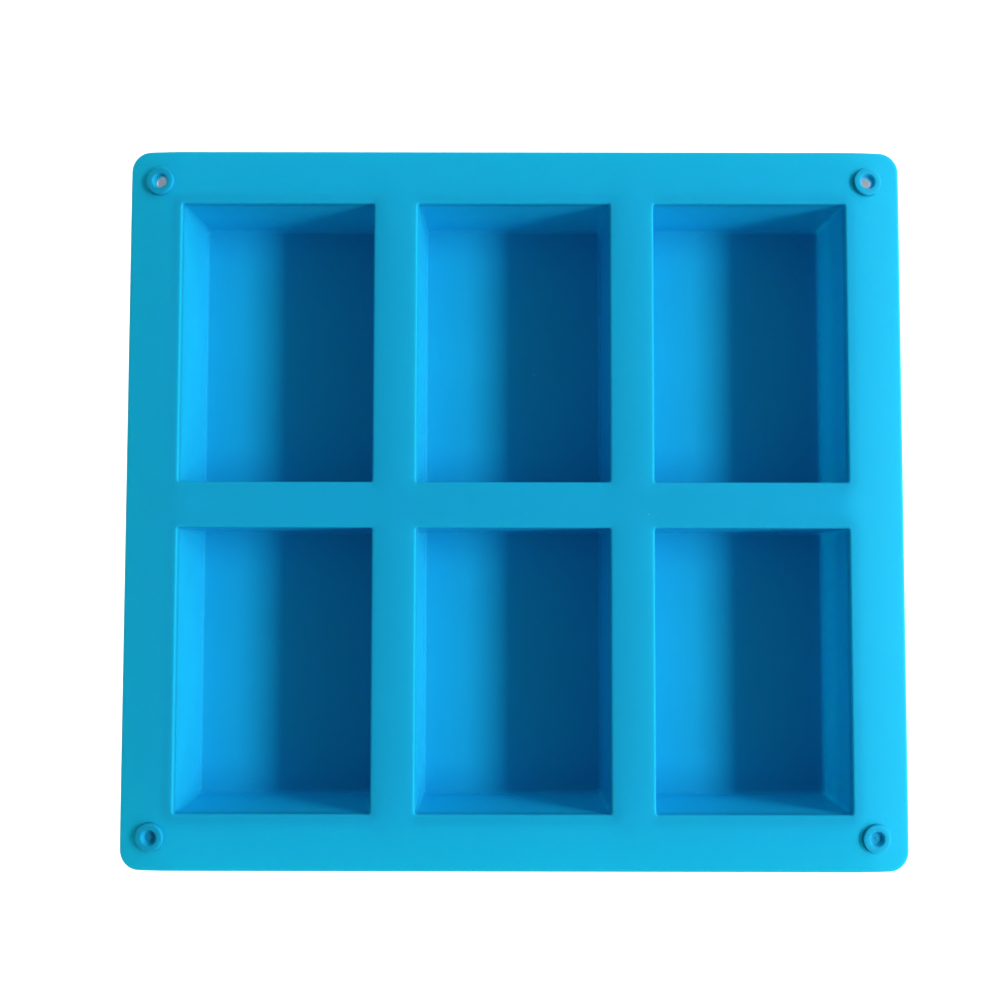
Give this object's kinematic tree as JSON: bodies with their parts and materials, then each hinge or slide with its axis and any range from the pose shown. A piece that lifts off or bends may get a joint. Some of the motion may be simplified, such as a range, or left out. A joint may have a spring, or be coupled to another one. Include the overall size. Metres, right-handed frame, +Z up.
{
  "type": "silicone soap mould",
  "caption": "Flexible rectangular soap mould: a flat deck with round corners, brick-shaped cups hanging under it, and a small raised ring in each corner.",
  "frame": {"origin": "centre of the outline, on the surface that the cups stand on", "axes": "+Z up out of the cavities, +X along the three columns of cavities, +Y towards the two pierced rings"},
  "size_m": [0.2214, 0.2046, 0.0281],
  "materials": {
    "silicone": "bright blue silicone rubber, moulded, satin"
  },
  "bodies": {
    "mould": {"deck": "silicone", "cup_walls_front_left": "silicone", "cup_walls_front_middle": "silicone", "cup_walls_front_right": "silicone", "cup_walls_back_left": "silicone", "cup_walls_back_middle": "silicone", "cup_walls_back_right": "silicone", "hanging_ring_back_left": "silicone", "hanging_ring_back_right": "silicone", "blind_ring_front_left": "silicone", "blind_ring_front_right": "silicone"},
    "floor_front_left": {"cup_floor_front_left": "silicone"},
    "floor_front_middle": {"cup_floor_front_middle": "silicone"},
    "floor_front_right": {"cup_floor_front_right": "silicone"},
    "floor_back_left": {"cup_floor_back_left": "silicone"},
    "floor_back_middle": {"cup_floor_back_middle": "silicone"},
    "floor_back_right": {"cup_floor_back_right": "silicone"}
  },
  "joints": [
    {"name": "floor_push_front_left", "type": "slide", "parent": "mould", "child": "floor_front_left", "axis": [0, 0, 1], "range_m": [0, 0.012], "stiffness_N_per_m": 600},
    {"name": "floor_push_front_middle", "type": "slide", "parent": "mould", "child": "floor_front_middle", "axis": [0, 0, 1], "range_m": [0, 0.012], "stiffness_N_per_m": 600},
    {"name": "floor_push_front_right", "type": "slide", "parent": "mould", "child": "floor_front_right", "axis": [0, 0, 1], "range_m": [0, 0.012], "stiffness_N_per_m": 600},
    {"name": "floor_push_back_left", "type": "slide", "parent": "mould", "child": "floor_back_left", "axis": [0, 0, 1], "range_m": [0, 0.012], "stiffness_N_per_m": 600},
    {"name": "floor_push_back_middle", "type": "slide", "parent": "mould", "child": "floor_back_middle", "axis": [0, 0, 1], "range_m": [0, 0.012], "stiffness_N_per_m": 600},
    {"name": "floor_push_back_right", "type": "slide", "parent": "mould", "child": "floor_back_right", "axis": [0, 0, 1], "range_m": [0, 0.012], "stiffness_N_per_m": 600}
  ]
}
